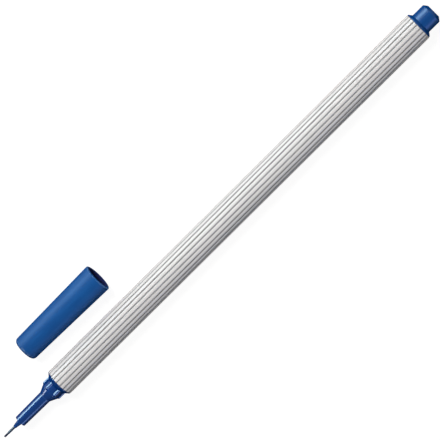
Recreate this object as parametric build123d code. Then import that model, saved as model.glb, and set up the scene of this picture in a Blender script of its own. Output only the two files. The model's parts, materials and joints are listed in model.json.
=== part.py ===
from build123d import *
import os
from math import atan2, cos, degrees, radians, sin, tan

# A fineliner pen that lies on a table with its cap taken off and laid beside it.
# The pen's axis runs along X, nib towards -X and end plug towards +X, and the table is z = 0.
# Lengths are millimetres and turns are degrees. Places along the pen count from the barrel's
# front edge, which is x = 0 there, with the nose at negative places.

# Fits between pieces, as gaps on the radius
press_gap = 0.02      # pieces that are pressed together for good
slip_gap = 0.03       # pieces that slide together by hand
post_gap = 0.10       # the cap's mouth on the end plug's stub
cut_overrun = 1.0     # how far a cutting shape stands past the faces that it cuts

# Barrel: a tube with convex ribs along its whole outside and thin fins inside
barrel_length = 130.2
barrel_radius = 4.0           # over the crests of the ribs
barrel_bore_radius = 3.2
barrel_end_bevel = 0.15
rib_count = 20
rib_depth = 0.2               # from crest to groove
fin_count = 6
fin_width = 0.5
fin_setback = 0.4             # from a spigot's end to the end of a fin

# Nose: flange against the barrel, ribbed collar for the cap, flare and slim snout
flange_inset = 0.03           # how far the flange stays inside the barrel's standing height
flange_land = 0.15
flange_bevel_length = 1.25
collar_radius = 2.64
collar_length = 2.1
collar_round = 0.25
collar_rib_count = 6
collar_rib_radius = 3.03      # over the crowns of the collar's ribs
collar_rib_width = 0.45       # of a rib's crown
collar_rib_draft = 30.0       # lean of a rib's flanks
collar_rib_lead = 0.4         # sloped front end of a rib
collar_rib_turn = 38.5        # from straight up to the first rib, towards the cap
flare_length = 1.95
flare_round = 0.6
snout_root_radius = 1.73
snout_end_radius = 1.61
snout_length = 9.3
snout_round = 0.12
snout_bore_radius = 1.0
nose_cavity_radius = 2.0
nose_cavity_setback = 0.6     # the inner cone lies this far behind the flare
nose_spigot_length = 8.0
spigot_bevel = 0.3

# Tip: holder with a conical front, steel sleeve and nib
holder_length = 7.0           # inside the snout
tip_cone_length = 2.05
tip_cone_base_radius = 0.8
tip_cone_end_radius = 0.46
sleeve_radius = 0.36
sleeve_reach = 2.3            # out of the cone
sleeve_insert = 5.0           # into the holder
sleeve_crimp_length = 0.3
sleeve_crimp_depth = 0.02
nib_radius = 0.28
nib_reach = 1.5               # out of the sleeve
nib_tail = 2.0                # into the wick

# Ink: fibre wick, fibre reservoir and the film round it
wick_radius = 0.65
wick_sink = 12.0              # into the reservoir
reservoir_radius = 2.85
film_thickness = 0.1
film_setback = 0.5            # the fibre stands out of the film at both ends

# End plug: spigot in the barrel, sloped flange and the stub that the cap can be posted on
plug_spigot_length = 6.0
plug_flange_inset = 0.08
plug_flange_thickness = 0.9
plug_flange_land = 0.2        # outer rim of the flange, whose rear slopes down to the stub
plug_edge_round = 0.1         # front edge of the flange, against the barrel
plug_wall = 0.9
plug_end_wall = 1.0
stub_length = 4.45
stub_bevel_length = 0.8       # sloped rim of the stub's end
stub_bevel_depth = 1.05
stub_round = 0.25             # both edges of that slope

# Cap: tapered shell and the seal pressed into it
cap_length = 27.3
cap_mouth_radius = 4.05
cap_end_radius = 3.5
cap_end_round = 1.0
cap_end_wall = 1.2
cap_rim_round = 0.15
cap_rim_wall = 0.85           # from the outside to the start of the mouth's lead-in
cap_lead_length = 0.3
seal_clearance = 0.15         # round the snout
seal_wall = 0.75
seal_end_wall = 0.7
seal_lip_bevel = 0.4

# Where the cap lies
cap_spacing = 12.45           # from the pen's axis to the cap's
cap_lead = 0.3                # closed end ahead of the barrel's front edge

# Sizes worked out from those above
half_pitch = radians(180 / rib_count)
groove_radius = barrel_radius - rib_depth
rib_half_chord = groove_radius * sin(half_pitch)
rib_rise = barrel_radius - groove_radius * cos(half_pitch)
rib_arc_radius = (rib_half_chord ** 2 + rib_rise ** 2) / (2 * rib_rise)
standing_height = (barrel_radius - rib_arc_radius) * cos(half_pitch) + rib_arc_radius

spigot_radius = barrel_bore_radius - press_gap
flange_radius = standing_height - flange_inset
flange_front = -(flange_land + flange_bevel_length)
collar_front = flange_front - collar_length
flare_front = collar_front - flare_length
snout_front = flare_front - snout_length
cone_front = snout_front - tip_cone_length
sleeve_front = cone_front - sleeve_reach
sleeve_rear = cone_front + sleeve_insert
nib_front = sleeve_front - nib_reach
reservoir_front = nose_spigot_length
reservoir_rear = barrel_length - plug_spigot_length
film_radius = reservoir_radius + film_thickness

cap_bore_radius = collar_rib_radius + slip_gap
stub_radius = cap_bore_radius - post_gap
stub_front = barrel_length + plug_flange_thickness
pen_rear = stub_front + stub_length

# The cap is on when its lead-in meets the flange's bevel. Its seal then meets the flare.
cap_lead_radius = cap_mouth_radius - cap_rim_wall
bevel_share = (flange_radius - cap_lead_radius) / (flange_radius - collar_radius)
capped_rim = -(flange_land + flange_bevel_length * bevel_share)
seal_bore_radius = snout_root_radius + seal_clearance
seal_radius = seal_bore_radius + seal_wall
seal_lip_radius = seal_bore_radius + seal_lip_bevel
flare_run = flare_length / (collar_radius - snout_root_radius)
seal_lip_length = seal_lip_bevel * flare_run
seal_depth = capped_rim - collar_front + (collar_radius - seal_lip_radius) * flare_run

# The pen stands on two ribs, and the tapered cap lies along its side. The middle of both,
# on the table, is the origin.
cap_tilt = atan2(cap_mouth_radius - cap_end_radius, cap_length)
barrel_front_x = -(pen_rear + nib_front) / 2
pen_y = -(cap_spacing + cap_mouth_radius - standing_height) / 2
cap_y = pen_y + cap_spacing
cap_end_x = barrel_front_x - cap_lead
cap_end_z = cap_end_radius * cos(cap_tilt)
pen_place = Pos(barrel_front_x, pen_y, standing_height)
cap_place = Pos(cap_end_x, cap_y, cap_end_z) * Rot(0, -degrees(cap_tilt), 0)


def turned(outline, rounds=None):
    """Turn an outline of (place, radius) corners about X, rounding the corners that rounds names."""
    radii = [0.0] * len(outline)
    for corner, radius in (rounds or {}).items():
        radii[corner] = radius
    return revolve(make_face(FilletPolyline(*outline, radius=radii, close=True)), axis=Axis.X)


def rod(front, rear, radius):
    """Plain round rod along X."""
    return turned([(front, 0), (rear, 0), (rear, radius), (front, radius)])


def around(angle, distance):
    """Point on a circle about the axis, in the YZ plane, from straight down and counting towards +Y."""
    return (distance * sin(angle), -distance * cos(angle))


def make_barrel():
    """Ribbed tube. A groove lies at the bottom, so that the pen stands on two ribs."""
    arcs = []
    for rib in range(rib_count):
        groove = 2 * half_pitch * rib
        start = around(groove, groove_radius)
        crest = around(groove + half_pitch, barrel_radius)
        end = around(groove + 2 * half_pitch, groove_radius)
        arcs.append(ThreePointArc(start, crest, end))
    ribs = extrude(Plane.YZ * make_face(arcs), amount=barrel_length)
    bevelled_radius = barrel_radius - barrel_end_bevel
    envelope = turned([
        (0, 0),
        (0, bevelled_radius),
        (barrel_end_bevel, barrel_radius),
        (barrel_length - barrel_end_bevel, barrel_radius),
        (barrel_length, bevelled_radius),
        (barrel_length, 0),
    ])
    bore = rod(-cut_overrun, barrel_length + cut_overrun, barrel_bore_radius)
    tube = (ribs & envelope) - bore
    fin_front = nose_spigot_length + fin_setback
    fin_rear = reservoir_rear - fin_setback
    fin_tip_radius = film_radius + slip_gap
    fin_root_radius = (barrel_bore_radius + groove_radius) / 2
    fin = Pos((fin_front + fin_rear) / 2, 0, (fin_tip_radius + fin_root_radius) / 2) * Box(
        fin_rear - fin_front, fin_width, fin_root_radius - fin_tip_radius
    )
    for index in range(fin_count):
        tube += Rot(index * 360 / fin_count, 0, 0) * fin
    return tube


def make_nose():
    """Turned nose with wedge-shaped friction ribs on its collar and a stepped bore."""
    body = turned(
        [
            (snout_front, snout_bore_radius),
            (snout_front, snout_end_radius),
            (flare_front, snout_root_radius),
            (collar_front, collar_radius),
            (flange_front, collar_radius),
            (-flange_land, flange_radius),
            (0, flange_radius),
            (0, spigot_radius),
            (nose_spigot_length - spigot_bevel, spigot_radius),
            (nose_spigot_length, spigot_radius - spigot_bevel),
            (nose_spigot_length, nose_cavity_radius),
            (collar_front + nose_cavity_setback, nose_cavity_radius),
            (flare_front + nose_cavity_setback, snout_bore_radius),
        ],
        {1: snout_round, 2: flare_round, 3: collar_round},
    )
    root_radius = (nose_cavity_radius + collar_radius) / 2
    flank_lean = tan(radians(collar_rib_draft))
    apex_radius = collar_rib_radius + collar_rib_width / 2 / flank_lean
    root_half_width = (apex_radius - root_radius) * flank_lean
    wedge = make_face(Polyline(
        (-root_half_width, root_radius), (root_half_width, root_radius), (0, apex_radius), close=True
    ))
    length = flange_front - collar_front + flange_bevel_length / 2
    rib = Pos(collar_front, 0, 0) * extrude(Plane.YZ * wedge, amount=length)
    crowns = turned([
        (collar_front, 0),
        (collar_front, collar_radius - collar_round),
        (collar_front + collar_rib_lead, collar_rib_radius),
        (collar_front + length, collar_rib_radius),
        (collar_front + length, 0),
    ])
    rib = rib & crowns
    for index in range(collar_rib_count):
        body += Rot(-collar_rib_turn - index * 360 / collar_rib_count, 0, 0) * rib
    return body


def make_tip_holder():
    """Bush in the snout with a conical front. It holds the sleeve, and the wick's front end."""
    radius = snout_bore_radius - press_gap
    rear = snout_front + holder_length
    sleeve_bore = sleeve_radius + press_gap
    wick_bore = wick_radius + press_gap
    return turned([
        (cone_front, sleeve_bore),
        (cone_front, tip_cone_end_radius),
        (snout_front, tip_cone_base_radius),
        (snout_front, radius),
        (rear, radius),
        (rear, wick_bore),
        (sleeve_rear, wick_bore),
        (sleeve_rear, sleeve_bore),
    ])


def make_tip_sleeve():
    """Steel tube round the nib, crimped in at its front end."""
    bore = nib_radius + press_gap
    return turned([
        (sleeve_front, bore),
        (sleeve_front, sleeve_radius - sleeve_crimp_depth),
        (sleeve_front + sleeve_crimp_length, sleeve_radius),
        (sleeve_rear, sleeve_radius),
        (sleeve_rear, bore),
    ])


def make_nib():
    """Round rod with a domed writing end."""
    rear = sleeve_rear + nib_tail
    shank = rod(nib_front + nib_radius, rear, nib_radius)
    return shank + Pos(nib_front + nib_radius, 0, 0) * Sphere(nib_radius)


def make_wick():
    """Fibre rod from the nib's tail into the reservoir, with a socket for the tail."""
    rear = reservoir_front + wick_sink
    socket = rod(sleeve_rear - cut_overrun, sleeve_rear + nib_tail, nib_radius + press_gap)
    return rod(sleeve_rear, rear, wick_radius) - socket


def make_reservoir():
    """Fibre rod that holds the ink, pierced at its front by the wick."""
    socket = rod(reservoir_front - cut_overrun, reservoir_front + wick_sink, wick_radius + press_gap)
    return rod(reservoir_front, reservoir_rear, reservoir_radius) - socket


def make_film():
    """Film tube round the reservoir."""
    front = reservoir_front + film_setback
    rear = reservoir_rear - film_setback
    return turned([
        (front, reservoir_radius),
        (rear, reservoir_radius),
        (rear, film_radius),
        (front, film_radius),
    ])


def make_end_plug():
    """Thimble pressed into the barrel's rear, with a sloped flange and a closed stub."""
    radius = standing_height - plug_flange_inset
    spigot_front = barrel_length - plug_spigot_length
    cavity_radius = min(spigot_radius, stub_radius) - plug_wall
    return turned(
        [
            (spigot_front, cavity_radius),
            (spigot_front, spigot_radius - spigot_bevel),
            (spigot_front + spigot_bevel, spigot_radius),
            (barrel_length, spigot_radius),
            (barrel_length, radius),
            (barrel_length + plug_flange_land, radius),
            (stub_front, stub_radius),
            (pen_rear - stub_bevel_length, stub_radius),
            (pen_rear, stub_radius - stub_bevel_depth),
            (pen_rear, 0),
            (pen_rear - plug_end_wall, 0),
            (pen_rear - plug_end_wall, cavity_radius),
        ],
        {4: plug_edge_round, 7: stub_round, 8: stub_round},
    )


def make_cap_shell():
    """Tapered cap, closed end at x = 0, with a lead-in, the collar's bore and the seal's seat."""
    seat_radius = seal_radius + press_gap
    step = cap_length - seal_depth
    return turned(
        [
            (0, 0),
            (0, cap_end_radius),
            (cap_length, cap_mouth_radius),
            (cap_length, cap_lead_radius),
            (cap_length - cap_lead_length, cap_bore_radius),
            (step, cap_bore_radius),
            (step, seat_radius),
            (cap_end_wall, seat_radius),
            (cap_end_wall, 0),
        ],
        {1: cap_end_round, 2: cap_rim_round},
    )


def make_cap_seal():
    """Thimble that seals on the flare and closes round the snout and the tip."""
    face = cap_length - seal_depth
    floor = cap_end_wall + seal_end_wall
    return turned([
        (cap_end_wall, 0),
        (cap_end_wall, seal_radius),
        (face, seal_radius),
        (face, seal_lip_radius),
        (face - seal_lip_length, seal_bore_radius),
        (floor, seal_bore_radius),
        (floor, 0),
    ])


nodes = {
    "barrel": pen_place * make_barrel(),
    "nose_section": pen_place * make_nose(),
    "tip_holder": pen_place * make_tip_holder(),
    "tip_sleeve": pen_place * make_tip_sleeve(),
    "nib": pen_place * make_nib(),
    "feed_wick": pen_place * make_wick(),
    "ink_reservoir": pen_place * make_reservoir(),
    "reservoir_film": pen_place * make_film(),
    "end_plug": pen_place * make_end_plug(),
    "cap_shell": cap_place * make_cap_shell(),
    "cap_seal": cap_place * make_cap_seal(),
}

os.makedirs("parts", exist_ok=True)
for name, solid in nodes.items():
    export_step(solid, f"parts/{name}.step")
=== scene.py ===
import json
from math import cos, pi, radians, sin, tan

import bmesh
import bpy
from mathutils import Matrix, Vector


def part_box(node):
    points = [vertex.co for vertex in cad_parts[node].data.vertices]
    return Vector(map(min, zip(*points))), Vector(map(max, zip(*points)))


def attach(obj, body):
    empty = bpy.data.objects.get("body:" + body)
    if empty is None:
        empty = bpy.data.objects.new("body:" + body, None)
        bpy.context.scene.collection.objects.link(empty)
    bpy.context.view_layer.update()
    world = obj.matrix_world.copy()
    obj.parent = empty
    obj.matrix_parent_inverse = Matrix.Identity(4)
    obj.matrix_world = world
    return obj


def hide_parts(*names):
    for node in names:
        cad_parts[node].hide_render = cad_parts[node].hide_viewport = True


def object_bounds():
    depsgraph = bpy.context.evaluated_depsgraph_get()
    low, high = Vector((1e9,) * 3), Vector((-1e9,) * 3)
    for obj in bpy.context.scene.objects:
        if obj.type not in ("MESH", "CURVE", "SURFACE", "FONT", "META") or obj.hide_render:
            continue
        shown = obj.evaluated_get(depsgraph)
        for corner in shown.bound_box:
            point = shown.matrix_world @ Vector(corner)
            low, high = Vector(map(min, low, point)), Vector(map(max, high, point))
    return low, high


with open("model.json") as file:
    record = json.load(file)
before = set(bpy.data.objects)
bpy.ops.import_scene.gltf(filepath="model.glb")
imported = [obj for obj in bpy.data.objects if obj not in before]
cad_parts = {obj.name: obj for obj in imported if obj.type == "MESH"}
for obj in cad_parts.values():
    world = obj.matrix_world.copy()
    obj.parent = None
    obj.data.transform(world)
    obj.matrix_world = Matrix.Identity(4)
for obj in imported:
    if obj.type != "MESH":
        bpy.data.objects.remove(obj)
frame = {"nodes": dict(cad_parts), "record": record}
cad_low, cad_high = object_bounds()

# Barrel
# A tube of pale grey plastic with twenty convex ribs along its whole outside. It is extruded, cut to
# length and bevelled at both ends, and it holds the nose, the ink and the end plug.
mm = 0.001
mounts = {mount["name"]: mount for mount in frame["record"]["mounts"]}
barrel_low, barrel_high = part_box("barrel")
barrel_length = barrel_high.x - barrel_low.x
barrel_crest = 3.985 * mm
barrel_groove = 3.8 * mm
rib_flatness = 3.0
barrel_bore = 3.2 * mm
barrel_bevel = 0.15 * mm
rib_count = 20
sides_per_rib = 16
pen_axis = Vector(mounts["barrel_grip"]["pos_m"])
pen_axis.x = 0
pen_place = Matrix.Translation(pen_axis + Vector((barrel_low.x, 0, 0)))
# The grooves are painted darker, out over the flanks as far as the spread reaches: painted shade in the
# hollows between the ribs.
rib_colour = (0.83, 0.83, 0.83, 1)
groove_painted_shade = (0.27, 0.27, 0.27, 1)
groove_shade_spread = 2.0
streak_shade = 0.05
cloud_shade = 0.06
barrel_roughness = 0.44
streak_roughness = 0.12
groove_roughness = 0.1
barrel_gloss = 0.7
streak_gloss = 0.1
barrel_gloss_roughness = 0.4
barrel_streak_depth = 0.0015 * mm
gloss_fade = (0.22, 0.52)


class Wire:
    """One socket of a node tree. Sums on wires add Math nodes, and made adds any other node."""

    def __init__(self, tree, socket=None):
        self.tree = tree
        self.socket = socket

    def made(self, kind, settings=(), sockets=(), out=0):
        node = self.tree.nodes.new(kind)
        for key, value in dict(settings).items():
            setattr(node, key, value)
        for key, value in dict(sockets).items():
            if isinstance(value, Wire):
                self.tree.links.new(value.socket, node.inputs[key])
            else:
                node.inputs[key].default_value = value
        return Wire(self.tree, node.outputs[out])

    def beside(self, name):
        """Another output of the same node."""
        return Wire(self.tree, self.socket.node.outputs[name])

    def apart(self):
        """X, Y and Z of a vector."""
        x = self.made("ShaderNodeSeparateXYZ", {}, {"Vector": self})
        return x, x.beside("Y"), x.beside("Z")

    def into(self, socket):
        self.tree.links.new(self.socket, socket)

    def math(self, operation, *values):
        return self.made("ShaderNodeMath", {"operation": operation}, dict(enumerate(values)))

    def __add__(self, other):
        return self.math("ADD", self, other)

    def __radd__(self, other):
        return self.math("ADD", other, self)

    def __sub__(self, other):
        return self.math("SUBTRACT", self, other)

    def __rsub__(self, other):
        return self.math("SUBTRACT", other, self)

    def __mul__(self, other):
        return self.math("MULTIPLY", self, other)

    def __rmul__(self, other):
        return self.math("MULTIPLY", other, self)

    def __truediv__(self, other):
        return self.math("DIVIDE", self, other)

    def __rtruediv__(self, other):
        return self.math("DIVIDE", other, self)

    def __pow__(self, other):
        return self.math("POWER", self, other)


def finish_named(name, **constants):
    """New material: itself, its shader, and a wire to start its other nodes from."""
    material = bpy.data.materials.new(name)
    material.use_nodes = True
    shader = material.node_tree.nodes["Principled BSDF"]
    for socket, value in constants.items():
        shader.inputs[socket.replace("_", " ")].default_value = value
    return material, shader, Wire(material.node_tree)


def centred(start, place):
    """Object coordinates seen from a piece's own place, in metres."""
    spot = start.made("ShaderNodeTexCoord", out="Object")
    return start.made("ShaderNodeMapping", {"vector_type": "TEXTURE"}, {
        "Vector": spot, "Location": place.translation, "Rotation": place.to_euler(),
    })


def blotches(start, spot, stretch, size, detail=2.0):
    """Noise from 0 to 1 with spots of this size, drawn out along the axis by stretch."""
    drawn = start.made("ShaderNodeMapping", {}, {"Vector": spot, "Scale": (1 / stretch, 1, 1)})
    return start.made("ShaderNodeTexNoise", {}, {
        "Vector": drawn, "Scale": 1 / size, "Detail": detail,
    })


def between(start, share, low, high):
    """Colour that goes from low to high with share."""
    colour_a, colour_b, colour_out = 6, 7, 2
    return start.made("ShaderNodeMix", {"data_type": "RGBA"}, {
        "Factor": share, colour_a: low, colour_b: high,
    }, out=colour_out)


def smooth_step(start, value, low, high):
    """Goes smoothly from 0 to 1 while value goes from low to high."""
    return start.made("ShaderNodeMapRange", {"interpolation_type": "SMOOTHSTEP"}, {
        "Value": value, "From Min": low, "From Max": high,
    })


def grained(start, shader, height, depth):
    """Bump of this depth into the shader's normal."""
    start.made("ShaderNodeBump", {}, {
        "Height": height, "Distance": depth, "Strength": 1.0,
    }).into(shader.inputs["Normal"])


def glossed(start, shader, weight, fade=gloss_fade):
    """Clear gloss that fades where the face turns away, so that the white table draws no pale rim."""
    turned_away = start.made("ShaderNodeLayerWeight", {}, {"Blend": 0.5}, out="Facing")
    (weight * (1 - smooth_step(start, turned_away, *fade))).into(shader.inputs["Coat Weight"])


def rounded(corners, rounds, steps=8):
    """Outline of (place, radius, edge) points, with the corners that rounds names turned into arcs."""
    points = []
    for index, corner in enumerate(corners):
        here = Vector(corner)
        radius = rounds.get(index, 0)
        if not radius:
            points.append((*here, 0))
            continue
        back = (Vector(corners[index - 1]) - here).normalized()
        ahead = (Vector(corners[(index + 1) % len(corners)]) - here).normalized()
        half = back.angle(ahead) / 2
        centre = here + (back + ahead).normalized() * (radius / sin(half))
        start = here + back * (radius / tan(half)) - centre
        end = here + ahead * (radius / tan(half)) - centre
        turn = -start.angle_signed(end)
        for step in range(steps + 1):
            point = centre + Matrix.Rotation(turn * step / steps, 2) @ start
            points.append((*point, float(0 < step < steps)))
    return points


def turned(name, outline, place, sides=96, longest=6 * mm):
    """Closed mesh turned about the X axis of place. The attribute edge marks its rounded edges."""
    shape = bmesh.new()
    edge = shape.verts.layers.float.new("edge")
    points = []
    for (x0, r0, e0), (x1, r1, e1) in zip(outline, outline[1:] + outline[:1]):
        cuts = max(1, round(abs(x1 - x0) / longest)) if r0 or r1 else 1
        for cut in range(cuts):
            share = cut / cuts
            points.append((x0 + (x1 - x0) * share, r0 + (r1 - r0) * share, 0 if cut else e0))
    rings = []
    for along, radius, mark in points:
        spots = sides if radius > 0 else 1
        ring = []
        for spot in range(spots):
            angle = 2 * pi * spot / sides
            vertex = shape.verts.new((along, radius * sin(angle), -radius * cos(angle)))
            vertex[edge] = mark
            ring.append(vertex)
        rings.append(ring)
    for ring, following in zip(rings, rings[1:] + rings[:1]):
        for spot in range(sides):
            after = (spot + 1) % sides
            corners = [ring[spot % len(ring)], following[spot % len(following)]]
            if len(following) > 1:
                corners.append(following[after])
            if len(ring) > 1:
                corners.append(ring[after])
            if len(corners) > 2:
                shape.faces.new(corners)
    bmesh.ops.recalc_face_normals(shape, faces=shape.faces)
    mesh = bpy.data.meshes.new(name)
    shape.to_mesh(mesh)
    shape.free()
    mesh.transform(place)
    piece = bpy.data.objects.new(name, mesh)
    bpy.context.scene.collection.objects.link(piece)
    return piece


def dressed(mesh, material):
    """Gives a mesh this material and no other."""
    mesh.materials.clear()
    mesh.materials.append(material)


def smoothed(piece, material, crease=32):
    """Smooth shading that keeps edges sharper than crease, in degrees, and one material."""
    for face in piece.data.polygons:
        face.use_smooth = True
    piece.data.set_sharp_from_angle(angle=radians(crease))
    dressed(piece.data, material)


def grown(piece, name, inputs, build):
    """Runs a Geometry Nodes tree on a piece and keeps what comes out as its plain mesh."""
    kinds = {int: "Int", float: "Float", Vector: "Vector", bpy.types.Material: "Material"}
    tree = bpy.data.node_groups.new(name, "GeometryNodeTree")
    tree.interface.new_socket("Geometry", in_out="INPUT", socket_type="NodeSocketGeometry")
    tree.interface.new_socket("Geometry", in_out="OUTPUT", socket_type="NodeSocketGeometry")
    values = {}
    for label, value in inputs.items():
        kind = "NodeSocket" + kinds[type(value)]
        socket = tree.interface.new_socket(label, in_out="INPUT", socket_type=kind)
        values[socket.identifier] = value
    entry = tree.nodes.new("NodeGroupInput")
    wires = {socket.name: Wire(tree, socket) for socket in entry.outputs if socket.name}
    shape = build(wires["Geometry"], wires)
    shape = shape.made("GeometryNodeRealizeInstances", {}, {"Geometry": shape})
    shape = shape.made("GeometryNodeSetMaterial", {}, {
        "Geometry": shape, "Material": wires["Material"],
    })
    shape.into(tree.nodes.new("NodeGroupOutput").inputs["Geometry"])
    modifier = piece.modifiers.new(name, "NODES")
    modifier.node_group = tree
    for identifier, value in values.items():
        modifier[identifier] = value
    seen = piece.evaluated_get(bpy.context.evaluated_depsgraph_get())
    mesh = bpy.data.meshes.new_from_object(seen)
    piece.modifiers.remove(modifier)
    piece.data = mesh
    return piece


def rib_grooves(shape, size):
    """Draws the outside in to a ring of flat-topped ribs, with a groove at the bottom of the barrel."""
    spot = shape.made("GeometryNodeInputPosition")
    x, y, z = shape.made("ShaderNodeVectorMath", {"operation": "SUBTRACT"}, {
        0: spot, 1: size["Axis"],
    }).apart()
    radius = (y * y + z * z) ** 0.5
    turn = shape.math("ARCTAN2", y, -1 * z) * size["Ribs"] / (2 * pi)
    from_crest = shape.math("ABSOLUTE", shape.math("FRACT", turn) * 2 - 1)
    depth = size["Crest radius"] - size["Groove radius"]
    rib = size["Crest radius"] - depth * from_crest ** size["Flatness"]
    drawn_in = shape.math("MINIMUM", radius, rib) / radius
    moved = shape.made("ShaderNodeCombineXYZ", {}, {"X": x, "Y": y * drawn_in, "Z": z * drawn_in})
    spot = shape.made("ShaderNodeVectorMath", {"operation": "ADD"}, {0: moved, 1: size["Axis"]})
    return shape.made("GeometryNodeSetPosition", {}, {"Geometry": shape, "Position": spot})


barrel_plastic, shader, start = finish_named(
    "barrel_plastic", Specular_IOR_Level=0.0, Coat_Roughness=barrel_gloss_roughness,
)
spot = centred(start, pen_place)
_, y, z = spot.apart()
crest = smooth_step(start, (y * y + z * z) ** 0.5, barrel_groove, barrel_crest)
streak = blotches(start, spot, stretch=60, size=0.12 * mm)
cloud = blotches(start, spot, stretch=4, size=3 * mm)
# Painted shade darkens the grooves. The streaks and clouds are the plastic's own tone.
painted_shade_and_tone = crest ** groove_shade_spread + (streak - 0.5) * streak_shade + (cloud - 0.5) * cloud_shade
between(start, painted_shade_and_tone, groove_painted_shade, rib_colour).into(shader.inputs["Base Color"])
roughness = barrel_roughness + streak_roughness * streak + groove_roughness * (1 - crest)
roughness.into(shader.inputs["Roughness"])
glossed(start, shader, barrel_gloss + streak_gloss * streak)
grained(start, shader, streak, barrel_streak_depth)

barrel = turned("ribbed_barrel", rounded([
    (0, barrel_bore),
    (0, barrel_crest - barrel_bevel),
    (barrel_bevel, barrel_crest),
    (barrel_length - barrel_bevel, barrel_crest),
    (barrel_length, barrel_crest - barrel_bevel),
    (barrel_length, barrel_bore),
], {}), pen_place, sides=sides_per_rib * rib_count)
grown(barrel, "rib_grooves", {
    "Ribs": rib_count, "Crest radius": barrel_crest, "Groove radius": barrel_groove,
    "Flatness": rib_flatness, "Axis": pen_axis, "Material": barrel_plastic,
}, rib_grooves)
smoothed(barrel, barrel_plastic)
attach(barrel, "pen")
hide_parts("barrel")

# Ink reservoir and feed wick
# Rods of bonded fibre soaked with blue ink. The reservoir fills the barrel between nose and end plug,
# and the thin wick leads the ink from its middle to the nib.
ink_colour = (0.035, 0.085, 0.33, 1)
dry_colour = (0.16, 0.25, 0.55, 1)
fibre_roughness = 0.85
fibre_sheen = 0.2
strand_depth = 0.03 * mm
fibre, shader, start = finish_named("ink_fibre", Roughness=fibre_roughness, Sheen_Weight=fibre_sheen)
spot = centred(start, pen_place)
strand = blotches(start, spot, stretch=90, size=0.06 * mm, detail=4.0)
between(start, strand ** 2, ink_colour, dry_colour).into(shader.inputs["Base Color"])
grained(start, shader, strand, strand_depth)
for node in ("ink_reservoir", "feed_wick"):
    dressed(frame["nodes"][node].data, fibre)

# Reservoir film
# A thin clear plastic tube drawn round the fibre. It keeps the ink off the barrel's wall and slides
# between the barrel's inner fins.
film_colour = (0.75, 0.79, 0.84, 1)
film_stain = (0.35, 0.45, 0.68, 1)
film_roughness = 0.18
film_gloss = 0.3
film, shader, start = finish_named("reservoir_film", Roughness=film_roughness, Coat_Weight=film_gloss)
spot = centred(start, pen_place)
stain = smooth_step(start, blotches(start, spot, stretch=6, size=1.5 * mm), low=0.45, high=0.75)
between(start, stain, film_colour, film_stain).into(shader.inputs["Base Color"])
dressed(frame["nodes"]["reservoir_film"].data, film)

# Nose
# One glossy blue moulding pressed into the barrel's front: a bevelled flange, a collar with six ribs
# that grip the cap, a flare and a slim snout that carries the tip.
nose_low, nose_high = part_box("nose_section")
snout_front = nose_low.x - barrel_low.x
spigot_rear = nose_high.x - barrel_low.x
spigot_radius = 3.18 * mm
spigot_bevel = 0.3 * mm
flange_radius = (nose_high.z - nose_low.z) / 2
flange_land = 0.15 * mm
flange_bevel = 1.25 * mm
flange_edge = 0.06 * mm
collar_radius = 2.64 * mm
collar_length = 2.1 * mm
collar_rear = -(flange_land + flange_bevel)
collar_front = collar_rear - collar_length
collar_edge = 0.25 * mm
grip_count = 6
grip_crown = mounts["collar_ribs"]["dims"]["r_mm"] * mm
grip_width = 0.45 * mm
grip_draft = radians(30)
grip_sink = 0.2 * mm
grip_edge = 0.04 * mm
grip_lead = 0.4 * mm
grip_turn = radians(38.5)
flare_length = 1.95 * mm
flare_front = collar_front - flare_length
flare_edge = 0.6 * mm
snout_root = 1.73 * mm
snout_end = 1.61 * mm
snout_edge = 0.12 * mm
snout_bore = 1.0 * mm
nose_cavity = 2.0 * mm
cavity_setback = 0.6 * mm
nose_colour = (0.003, 0.04, 0.205, 1)
nose_pale = (0.004, 0.054, 0.25, 1)
nose_worn = (0.05, 0.13, 0.36, 1)
# Dark navy for the cap's inside: painted shade for its unlit bore.
bore_painted_shade = (0.02, 0.026, 0.11, 1)
nose_roughness = 0.14
nose_index = 1.62


def moulded(name, place, deep, pale, edge_colour, roughness, gloss=1.0, index=1.5, fade=gloss_fade, shaded_inside=None):
    """Moulded plastic: faint flow marks, a fine grain, edges paler and duller (rubbed wear, on the cap
    also a painted glint), and any painted shade inside.
    """
    rub_pales = 0.45
    flow_dulls, rub_dulls = 0.15, 0.3
    flow_roughens, rub_roughens = 0.08, 0.15
    flow_height = 0.5
    grain_depth = 0.003 * mm
    material, shader, start = finish_named(
        name, Specular_IOR_Level=0.0, Coat_Roughness=roughness, Coat_IOR=index,
    )
    spot = centred(start, place)
    flow = blotches(start, spot, stretch=5, size=1.2 * mm)
    grain = blotches(start, spot, stretch=1, size=0.07 * mm, detail=3.0)
    patches = smooth_step(start, blotches(start, spot, stretch=1, size=0.5 * mm), low=0.35, high=0.7)
    rub = start.made("ShaderNodeAttribute", {"attribute_name": "edge"}, out="Fac") * patches
    body = between(start, smooth_step(start, flow, low=0.3, high=0.75), deep, pale)
    # Rounded edges turn paler: rubbed wear, and with the cap's pale edge colour also a painted glint.
    body = between(start, rub_pales * rub, body, edge_colour)
    shine = gloss * (1 - flow_dulls * flow - rub_dulls * rub)
    # Where asked, the inside is painted dark and loses its gloss: painted shade.
    if shaded_inside:
        inside_shade = shaded_inside(start, spot)
        body = between(start, inside_shade, body, bore_painted_shade)
        shine = shine * (1 - inside_shade)
    body.into(shader.inputs["Base Color"])
    (roughness + flow_roughens * flow + rub_roughens * rub).into(shader.inputs["Roughness"])
    glossed(start, shader, shine, fade)
    grained(start, shader, grain + flow_height * flow, grain_depth)
    return material


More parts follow.
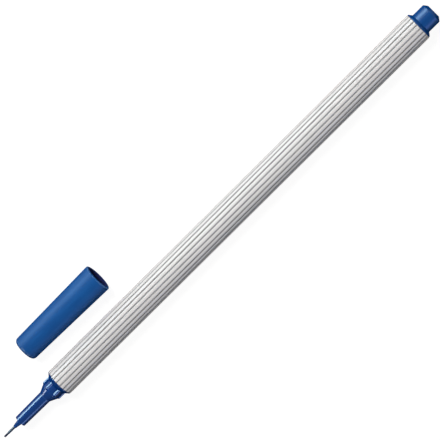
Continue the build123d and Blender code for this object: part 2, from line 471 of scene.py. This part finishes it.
def grip_ribs(shape, size):
    """Adds the collar's ribs: wedges with flat crowns that rise behind the collar's front edge."""
    points_along, points_round_edge = 25, 3
    front = shape.made("ShaderNodeCombineXYZ", {}, {"X": size["Front"], "Z": size["Middle"]})
    rear = shape.made("ShaderNodeCombineXYZ", {}, {"X": size["Rear"], "Z": size["Middle"]})
    line = shape.made("GeometryNodeCurvePrimitiveLine", {}, {"Start": front, "End": rear})
    line = shape.made("GeometryNodeResampleCurve", {}, {"Curve": line, "Count": points_along})
    x, _, _ = shape.made("GeometryNodeInputPosition").apart()
    short = shape.math("MAXIMUM", 0.0, size["Lead"] - (x - size["Front"]))
    drop = shape.made("ShaderNodeCombineXYZ", {}, {"Z": -1 * short * size["Drop"] / size["Lead"]})
    line = shape.made("GeometryNodeSetPosition", {}, {"Geometry": line, "Offset": drop})
    line = shape.made("GeometryNodeSetCurveNormal", {"mode": "Z_UP"}, {"Curve": line})
    section = shape.made("GeometryNodeCurvePrimitiveQuadrilateral", {"mode": "TRAPEZOID"}, {
        "Height": size["Height"], "Bottom Width": size["Crown width"],
        "Top Width": size["Root width"], "Offset": 0.0,
    })
    section = shape.made("GeometryNodeFilletCurve", {"mode": "POLY"}, {
        "Curve": section, "Count": points_round_edge, "Radius": size["Edge"],
    })
    bar = shape.made("GeometryNodeCurveToMesh", {}, {
        "Curve": line, "Profile Curve": section, "Fill Caps": True,
    })
    spots = shape.made("GeometryNodePoints", {}, {"Count": size["Ribs"], "Position": size["Axis"]})
    number = shape.made("GeometryNodeInputIndex")
    angle = number * 2 * pi / size["Ribs"] + size["Turn"]
    turn = shape.made("ShaderNodeCombineXYZ", {}, {"X": -1 * angle})
    bars = shape.made("GeometryNodeInstanceOnPoints", {}, {
        "Points": spots, "Instance": bar, "Rotation": turn,
    })
    joined = shape.made("GeometryNodeJoinGeometry", {}, {"Geometry": shape})
    bars.into(joined.socket.node.inputs["Geometry"])
    return joined


nose_plastic = moulded(
    "nose_plastic", pen_place, nose_colour, nose_pale, nose_worn, nose_roughness, index=nose_index,
)
nose = turned("nose_moulding", rounded([
    (snout_front, snout_bore),
    (snout_front, snout_end),
    (flare_front, snout_root),
    (collar_front, collar_radius),
    (collar_rear, collar_radius),
    (-flange_land, flange_radius),
    (0, flange_radius),
    (0, spigot_radius),
    (spigot_rear - spigot_bevel, spigot_radius),
    (spigot_rear, spigot_radius - spigot_bevel),
    (spigot_rear, nose_cavity),
    (collar_front + cavity_setback, nose_cavity),
    (flare_front + cavity_setback, snout_bore),
], {1: snout_edge, 2: flare_edge, 3: collar_edge, 5: flange_edge, 6: flange_edge}), pen_place)
grip_height = grip_crown - collar_radius + grip_sink
grown(nose, "grip_ribs", {
    "Ribs": grip_count, "Turn": grip_turn,
    "Middle": grip_crown - grip_height / 2, "Height": grip_height,
    "Crown width": grip_width, "Root width": grip_width + 2 * grip_height * tan(grip_draft),
    "Edge": grip_edge,
    "Front": barrel_low.x + collar_front + collar_edge / 2,
    "Rear": barrel_low.x + collar_rear + flange_bevel / 2,
    "Lead": grip_lead, "Drop": grip_crown - collar_radius,
    "Axis": pen_axis, "Material": nose_plastic,
}, grip_ribs)
smoothed(nose, nose_plastic)
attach(nose, "pen")
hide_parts("nose_section")

# Tip holder
# A small bush of the same blue plastic, pressed into the snout. Its cone shows in front of the snout,
# and its bore grips the steel sleeve and the front of the wick.
holder_low, holder_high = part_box("tip_holder")
cone_front = holder_low.x - barrel_low.x
holder_rear = holder_high.x - barrel_low.x
sleeve_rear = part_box("tip_sleeve")[1].x - barrel_low.x
holder_radius = 0.98 * mm
cone_base = 0.8 * mm
cone_end = 0.46 * mm
cone_edge = 0.06 * mm
sleeve_seat = 0.38 * mm
wick_seat = 0.67 * mm
holder = turned("tip_bush", rounded([
    (cone_front, sleeve_seat),
    (cone_front, cone_end),
    (snout_front, cone_base),
    (snout_front, holder_radius),
    (holder_rear, holder_radius),
    (holder_rear, wick_seat),
    (sleeve_rear, wick_seat),
    (sleeve_rear, sleeve_seat),
], {1: cone_edge}), pen_place, sides=64)
smoothed(holder, nose_plastic)
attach(holder, "pen")
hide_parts("tip_holder")

# Tip sleeve
# A thin drawn steel tube, crimped in at its front end. It stiffens the nib and keeps a ruler's edge
# off it.
sleeve_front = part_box("tip_sleeve")[0].x - barrel_low.x
sleeve_radius = 0.36 * mm
sleeve_bore = 0.3 * mm
crimp_length = 0.3 * mm
crimp_depth = 0.02 * mm
steel_colour = (0.15, 0.155, 0.17, 1)
steel_dark = (0.06, 0.062, 0.07, 1)
steel_rim = (0.12, 0.12, 0.14, 1)
steel_roughness = 0.24
scratch_roughness = 0.25
scratch_depth = 0.002 * mm
steel, shader, start = finish_named("sleeve_steel", Metallic=1.0, Specular_Tint=steel_rim)
spot = centred(start, pen_place)
scratch = blotches(start, spot, stretch=0.15, size=0.1 * mm, detail=3.0)
bright = smooth_step(start, scratch, low=0.3, high=0.75)
between(start, bright, steel_dark, steel_colour).into(shader.inputs["Base Color"])
(steel_roughness + scratch_roughness * scratch).into(shader.inputs["Roughness"])
grained(start, shader, scratch, scratch_depth)
sleeve = turned("needle_sleeve", rounded([
    (sleeve_front, sleeve_bore),
    (sleeve_front, sleeve_radius - crimp_depth),
    (sleeve_front + crimp_length, sleeve_radius),
    (sleeve_rear, sleeve_radius),
    (sleeve_rear, sleeve_bore),
], {}), pen_place, sides=48)
smoothed(sleeve, steel)
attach(sleeve, "pen")
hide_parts("tip_sleeve")

# Nib
# A hard plastic rod with fine ink channels and a domed end. It runs from the paper through the sleeve
# into the wick, and blue ink has stained it.
nib_low, nib_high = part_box("nib")
nib_front = nib_low.x - barrel_low.x
nib_rear = nib_high.x - barrel_low.x
nib_radius = 0.28 * mm
nib_dome = 0.98 * nib_radius
nib_colour = (0.045, 0.05, 0.075, 1)
nib_stain = (0.015, 0.025, 0.075, 1)
nib_roughness = 0.55
wet_smooths = 0.25
nib_gloss = 0.3
wet_gloss = 0.4
nib_gloss_roughness = 0.4
wet_depth = 0.004 * mm
nib_plastic, shader, start = finish_named(
    "nib_plastic", Specular_IOR_Level=0.0, Coat_Roughness=nib_gloss_roughness,
)
spot = centred(start, pen_place)
wet = smooth_step(start, blotches(start, spot, stretch=4, size=0.15 * mm), low=0.35, high=0.65)
between(start, wet, nib_colour, nib_stain).into(shader.inputs["Base Color"])
(nib_roughness - wet_smooths * wet).into(shader.inputs["Roughness"])
glossed(start, shader, nib_gloss + wet_gloss * wet)
grained(start, shader, wet, wet_depth)
nib = turned("writing_point", rounded([
    (nib_front, 0),
    (nib_front, nib_radius),
    (nib_rear, nib_radius),
    (nib_rear, 0),
], {1: nib_dome}), pen_place, sides=32)
smoothed(nib, nib_plastic, crease=50)
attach(nib, "pen")
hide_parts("nib")

# End plug
# A blue moulding pressed into the barrel's rear end. A sloped flange covers the barrel's edge, and the
# plain stub behind it takes the cap while the pen writes.
plug_low, plug_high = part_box("end_plug")
plug_front = plug_low.x - barrel_low.x
plug_rear = plug_high.x - barrel_low.x
plug_flange = (plug_high.z - plug_low.z) / 2
plug_flange_length = 0.9 * mm
plug_flange_rear = barrel_length + plug_flange_length
plug_flange_land = 0.2 * mm
plug_flange_edge = 0.1 * mm
plug_slope_edge = 0.05 * mm
plug_cavity = 2.06 * mm
plug_end_wall = 1.0 * mm
stub_radius = mounts["end_stub"]["dims"]["r_mm"] * mm
stub_bevel_length = 0.8 * mm
stub_bevel_depth = 1.05 * mm
stub_edge = 0.25 * mm
stub_root = 0.1 * mm
gate_radius = 0.6 * mm
gate_depth = 0.06 * mm
gate_edge = gate_depth / 3
plug_colour = (0.0025, 0.061, 0.255, 1)
plug_pale = (0.004, 0.075, 0.295, 1)
plug_roughness = 0.36
plug_gloss = 0.85
plug_plastic = moulded(
    "plug_plastic", pen_place, plug_colour, plug_pale, nose_worn, plug_roughness, gloss=plug_gloss,
)
plug = turned("rear_plug", rounded([
    (plug_front, plug_cavity),
    (plug_front, spigot_radius - spigot_bevel),
    (plug_front + spigot_bevel, spigot_radius),
    (barrel_length, spigot_radius),
    (barrel_length, plug_flange),
    (barrel_length + plug_flange_land, plug_flange),
    (plug_flange_rear, stub_radius),
    (plug_rear - stub_bevel_length, stub_radius),
    (plug_rear, stub_radius - stub_bevel_depth),
    (plug_rear, gate_radius),
    (plug_rear - gate_depth, gate_radius - gate_depth),
    (plug_rear - gate_depth, 0),
    (plug_rear - plug_end_wall, 0),
    (plug_rear - plug_end_wall, plug_cavity),
], {
    4: plug_flange_edge, 5: plug_slope_edge, 6: stub_root, 7: stub_edge, 8: stub_edge, 9: gate_edge,
}), pen_place)
smoothed(plug, plug_plastic)
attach(plug, "pen")
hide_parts("end_plug")

# Cap shell
# A tapered blue cap with no clip, moulded with a satin face. It was pulled off and lies on the table
# with its closed end towards the nib. It rests on its taper, so its axis rises a little to the mouth.
cap_length = 27.3 * mm
cap_mouth = 4.05 * mm
cap_end = 3.5 * mm
cap_end_edge = 1.0 * mm
cap_end_wall = 1.2 * mm
cap_rim_edge = 0.35 * mm
cap_lead_edge = 0.04 * mm
cap_rim_wall = 0.85 * mm
cap_lead = 0.3 * mm
cap_bore = mounts["cap_mouth"]["dims"]["r_mm"] * mm
cap_grip = mounts["cap_mouth"]["dims"]["length_mm"] * mm
cap_seat = 2.65 * mm
cap_step = cap_length - cap_lead - cap_grip
cap_axis = Vector(mounts["cap_mouth"]["axis"])
cap_closed = Vector(mounts["cap_mouth"]["pos_m"]) - cap_axis * (cap_step + cap_grip / 2)
cap_turn = Vector((1, 0, 0)).rotation_difference(cap_axis)
cap_place = Matrix.Translation(cap_closed) @ cap_turn.to_matrix().to_4x4()
cap_colour = (0.007, 0.082, 0.305, 1)
cap_pale = (0.009, 0.1, 0.35, 1)
# Pale blue for the cap's rounded edges: rubbed wear, and a painted glint on the mouth's rim.
cap_wear_and_glint = (0.22, 0.38, 0.65, 1)
cap_roughness = 0.5
cap_gloss = 0.4
cap_fade = (0.35, 0.7)


def painted_bore_shade(start, spot):
    """Share of painted shade: all over the cap's inside, ending at the rim, and none outside."""
    along, y, z = spot.apart()
    outside = smooth_step(start, (y * y + z * z) ** 0.5, cap_bore, cap_mouth - cap_rim_wall / 2)
    return (1 - outside) * smooth_step(start, along, 0, cap_end_wall)


cap_plastic = moulded(
    "cap_plastic", cap_place, cap_colour, cap_pale, cap_wear_and_glint, cap_roughness,
    gloss=cap_gloss, fade=cap_fade, shaded_inside=painted_bore_shade,
)
cap = turned("cap_moulding", rounded([
    (gate_depth, 0),
    (gate_depth, gate_radius - gate_depth),
    (0, gate_radius),
    (0, cap_end),
    (cap_length, cap_mouth),
    (cap_length, cap_mouth - cap_rim_wall),
    (cap_length - cap_lead, cap_bore),
    (cap_step, cap_bore),
    (cap_step, cap_seat),
    (cap_end_wall, cap_seat),
    (cap_end_wall, 0),
], {2: gate_edge, 3: cap_end_edge, 4: cap_rim_edge, 5: cap_lead_edge}), cap_place, sides=128)
smoothed(cap, cap_plastic)
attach(cap, "cap")
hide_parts("cap_shell")

# Cap seal
# A softer dark blue thimble pressed to the bottom of the cap. Its bevelled lip closes on the nose's
# flare, so that the nib doesn't dry out.
seal_bore = mounts["seal_bore"]["dims"]["r_mm"] * mm
seal_radius = 2.63 * mm
seal_floor_wall = 0.7 * mm
seal_floor = cap_end_wall + seal_floor_wall
seal_lip = 0.4 * mm
seal_lip_length = cap_step - seal_floor - mounts["seal_bore"]["dims"]["length_mm"] * mm
seal_edge = 0.08 * mm
seal_colour = (0.006, 0.02, 0.075, 1)
seal_pale = (0.01, 0.034, 0.11, 1)
seal_roughness = 0.5
seal_gloss = 0.5
seal_plastic = moulded(
    "seal_plastic", cap_place, seal_colour, seal_pale, seal_pale, seal_roughness, gloss=seal_gloss,
)
seal = turned("cap_liner", rounded([
    (cap_end_wall, 0),
    (cap_end_wall, seal_radius),
    (cap_step, seal_radius),
    (cap_step, seal_bore + seal_lip),
    (cap_step - seal_lip_length, seal_bore),
    (seal_floor, seal_bore),
    (seal_floor, 0),
], {3: seal_edge}), cap_place, sides=64)
smoothed(seal, seal_plastic)
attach(seal, "cap")
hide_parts("cap_seal")

# Table
# A plain white table top. The camera, gloss and glass see it as white, with a faint shadow of the pen
# and the cap, and it throws soft light back up at their undersides.
table_size = 8.0
table_drop = 0.02 * mm
table_glow = 0.92
table_lit = (0.22, 0.22, 0.22, 1)
table_bounce = (0.6, 0.59, 0.58, 1)
table_mesh = bpy.data.meshes.new("table_top")
corner = table_size / 2
table_mesh.from_pydata([
    (-corner, -corner, -table_drop), (corner, -corner, -table_drop),
    (corner, corner, -table_drop), (-corner, corner, -table_drop),
], [], [(0, 1, 2, 3)])
table = bpy.data.objects.new("table_top", table_mesh)
bpy.context.scene.collection.objects.link(table)
table_white = bpy.data.materials.new("table_white")
table_white.use_nodes = True
table_white.node_tree.nodes.clear()
start = Wire(table_white.node_tree)
ray = start.made("ShaderNodeLightPath")
seen = start.math("MAXIMUM", ray.beside("Is Camera Ray"), ray.beside("Is Glossy Ray"))
seen = start.math("MAXIMUM", seen, ray.beside("Is Transmission Ray"))
glow = start.made("ShaderNodeEmission", {}, {"Strength": table_glow})
lit = start.made("ShaderNodeBsdfDiffuse", {}, {"Color": table_lit})
white = start.made("ShaderNodeAddShader", {}, {0: glow, 1: lit})
bounce = start.made("ShaderNodeBsdfDiffuse", {}, {"Color": table_bounce})
whole = start.made("ShaderNodeMixShader", {}, {"Fac": seen, 1: bounce, 2: white})
whole.into(table_white.node_tree.nodes.new("ShaderNodeOutputMaterial").inputs["Surface"])
table_mesh.materials.append(table_white)

# Camera
# It looks down at the pen with a long lens, a little from the plug's end and from the cap's side, and
# is rolled so that the pen runs to the upper right. One point of the pen fixes the framing.
photo_width = 440
photo_metres_per_pixel = 0.25917 * mm
barrel_front_pixel = (59.73, 382.17)
lean_to_rear = radians(6.7)
lean_to_cap = radians(11.2)
pen_climb = radians(44.79)
camera_distance = 0.65
nearest_seen = 0.1
farthest_seen = 50
back = Vector((
    sin(lean_to_rear), cos(lean_to_rear) * sin(lean_to_cap), cos(lean_to_rear) * cos(lean_to_cap),
))
along_pen = (Vector((1, 0, 0)) - back * back.x).normalized()
beside_pen = back.cross(along_pen)
right = along_pen * cos(pen_climb) - beside_pen * sin(pen_climb)
up = along_pen * sin(pen_climb) + beside_pen * cos(pen_climb)
pixels_right = photo_width / 2 - barrel_front_pixel[0]
pixels_up = barrel_front_pixel[1] - photo_width / 2
to_middle = right * pixels_right + up * pixels_up
aim = pen_place.translation + to_middle * photo_metres_per_pixel
camera_data = bpy.data.cameras.new("camera")
camera_data.lens = camera_data.sensor_width * camera_distance / (photo_width * photo_metres_per_pixel)
camera_data.clip_start = nearest_seen
camera_data.clip_end = farthest_seen
camera = bpy.data.objects.new("camera", camera_data)
camera_turn = Matrix((right, up, back)).transposed().to_4x4()
camera.matrix_world = Matrix.Translation(aim + back * camera_distance) @ camera_turn
bpy.context.scene.collection.objects.link(camera)
bpy.context.scene.camera = camera

# Lamps
# A soft box above the cap's side, a weak one low on the other side and a dim grey room light the bodies
# of the pieces. The strips show only in the gloss: a cool one on the cap's side for the clear highlight,
# a weak one on the other side for the second glint, and a small one beyond the nib for the flare.
lamp_distance = 0.6
room_grey = (0.13, 0.13, 0.13, 1)


def soft_box(name, turn_to_cap, lean_to_plug, length, width, radiance, tint, in_gloss=False):
    """Lamp along the pen, turned from the camera's line to the cap's side and leaned to the plug."""
    data = bpy.data.lights.new(name, "AREA")
    data.shape = "RECTANGLE"
    data.size = length
    data.size_y = width
    data.energy = radiance * pi * length * width
    data.color = tint
    lamp = bpy.data.objects.new(name, data)
    lamp.visible_camera = False
    lamp.visible_diffuse = not in_gloss
    lamp.visible_glossy = in_gloss
    above = back * cos(turn_to_cap) + beside_pen * sin(turn_to_cap)
    towards = above * cos(lean_to_plug) + along_pen * sin(lean_to_plug)
    lengthwise = along_pen * cos(lean_to_plug) - above * sin(lean_to_plug)
    spot = (cad_low + cad_high) / 2 + towards * lamp_distance
    facing = Matrix((lengthwise, towards.cross(lengthwise), towards)).transposed()
    lamp.matrix_world = Matrix.LocRotScale(spot, facing, None)
    bpy.context.scene.collection.objects.link(lamp)


soft_box(
    "body_box", turn_to_cap=radians(29), lean_to_plug=radians(-5), length=0.15, width=0.25,
    radiance=27.5, tint=(1, 0.96, 0.94),
)
soft_box(
    "fill_box", turn_to_cap=radians(-80), lean_to_plug=0, length=0.5, width=0.3,
    radiance=0.5, tint=(1, 0.96, 0.92),
)
soft_box(
    "key_strip", turn_to_cap=radians(64), lean_to_plug=0, length=0.9, width=0.27,
    radiance=12.5, tint=(0.56, 0.86, 1), in_gloss=True,
)
soft_box(
    "glint_strip", turn_to_cap=radians(-70), lean_to_plug=0, length=0.9, width=0.25,
    radiance=4, tint=(0.32, 0.5, 1), in_gloss=True,
)
soft_box(
    "flare_strip", turn_to_cap=radians(80), lean_to_plug=radians(-60), length=0.12, width=0.14,
    radiance=9, tint=(0.75, 0.85, 1), in_gloss=True,
)
world = bpy.data.worlds.new("room")
world.use_nodes = True
world.node_tree.nodes["Background"].inputs["Color"].default_value = room_grey
bpy.context.scene.world = world
bpy.context.scene.view_settings.view_transform = "Standard"
